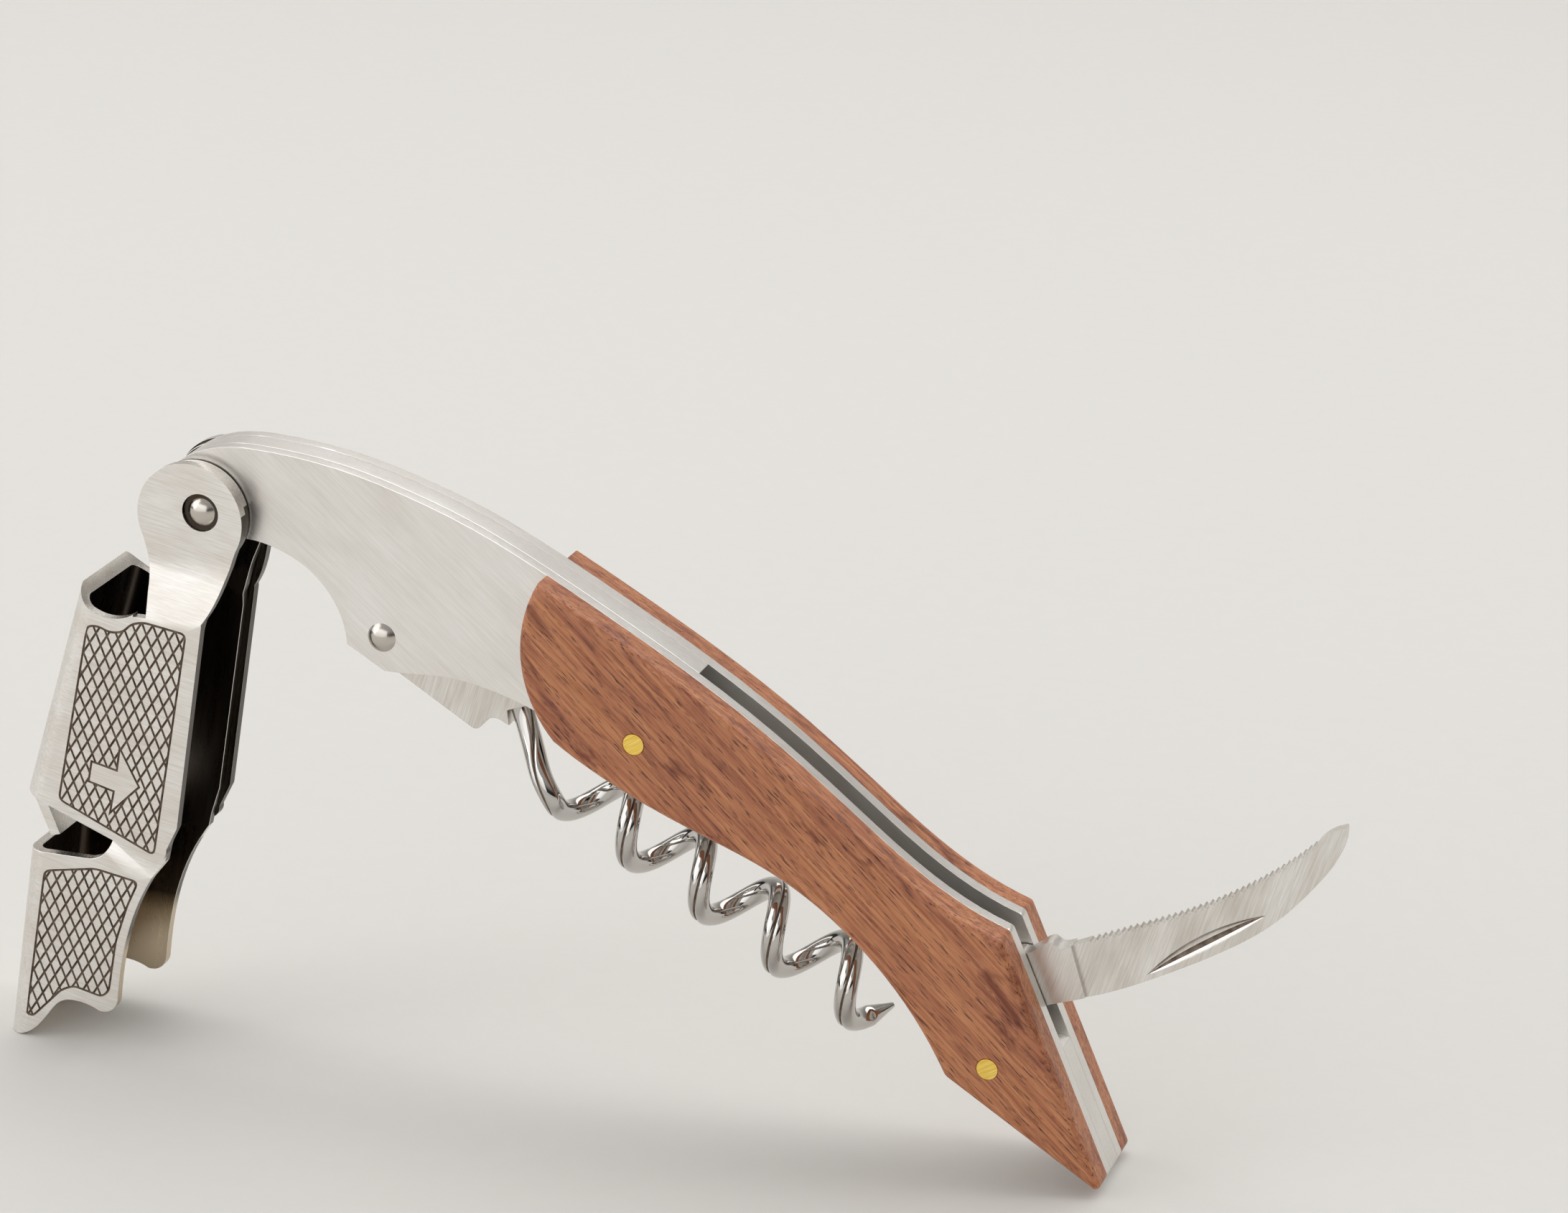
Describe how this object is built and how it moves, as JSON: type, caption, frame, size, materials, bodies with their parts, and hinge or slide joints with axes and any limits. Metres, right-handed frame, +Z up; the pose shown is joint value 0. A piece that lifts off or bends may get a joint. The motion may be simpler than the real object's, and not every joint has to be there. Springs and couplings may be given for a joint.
{
  "type": "waiters corkscrew",
  "caption": "Folding waiter's corkscrew with a double-hinged lever, wire worm and serrated foil knife, steel bolsters and wood scales, standing open on lever and tail.",
  "frame": {"origin": "bottom centre of the standing tool's bounding box, on the surface it stands on", "axes": "+X from the lever towards the knife and tail, +Y across the handle from the nail-nick side to the far side, +Z up"},
  "size_m": [0.15, 0.0144, 0.0709],
  "materials": {
    "brushed_steel": "brushed along the handle, satin",
    "lever_steel": "tumbled and brushed, satin, with engraved grip panels",
    "blade_steel": "fine vertical grind lines, satin",
    "polished_steel": "mirror polished",
    "wood": "oiled and sanded smooth, satin",
    "brass": "ground flush and polished"
  },
  "bodies": {
    "handle": {"liner_near": "brushed_steel", "liner_far": "brushed_steel", "spine_spacer": "brushed_steel", "tail_spacer": "brushed_steel", "scale_near": "wood", "scale_far": "wood", "scale_pin_front": "brass", "scale_pin_rear": "brass", "liner_pins": "brushed_steel", "worm_rivet": "polished_steel", "lever_rivet": "polished_steel", "lever_washer_near": "polished_steel", "lever_washer_far": "polished_steel", "knife_pin": "brushed_steel", "knife_washer_near": "brass", "knife_washer_far": "brass"},
    "long_lever": {"second_step_lever": "lever_steel"},
    "short_lever": {"first_step_lever": "lever_steel"},
    "screw": {"worm": "polished_steel", "worm_carrier": "brushed_steel"},
    "knife": {"knife_blade": "blade_steel"},
    "backspring": {"knife_spring": "brushed_steel"}
  },
  "joints": [
    {"name": "lever_hinge", "type": "hinge", "parent": "handle", "child": "long_lever", "pos_m": [-0.04858, 0, 0.064], "axis": [0, 1, 0], "range_deg": [-73, 109]},
    {"name": "step_hinge", "type": "hinge", "parent": "long_lever", "child": "short_lever", "pos_m": [-0.04858, 0, 0.064], "axis": [0, 1, 0], "range_deg": [0, 60]},
    {"name": "worm_hinge", "type": "hinge", "parent": "handle", "child": "screw", "pos_m": [-0.02912, 0, 0.05141], "axis": [0, 1, 0], "range_deg": [0, 94]},
    {"name": "knife_hinge", "type": "hinge", "parent": "handle", "child": "knife", "pos_m": [0.03948, 0, 0.02012], "axis": [0, 1, 0], "range_deg": [-104.5, 34]},
    {"name": "spring_hinge", "type": "hinge", "parent": "handle", "child": "backspring", "pos_m": [0.00059, 0, 0.04427], "axis": [0, 1, 0], "range_deg": [0, 1.2], "stiffness_Nm_per_rad": 0.5}
  ]
}
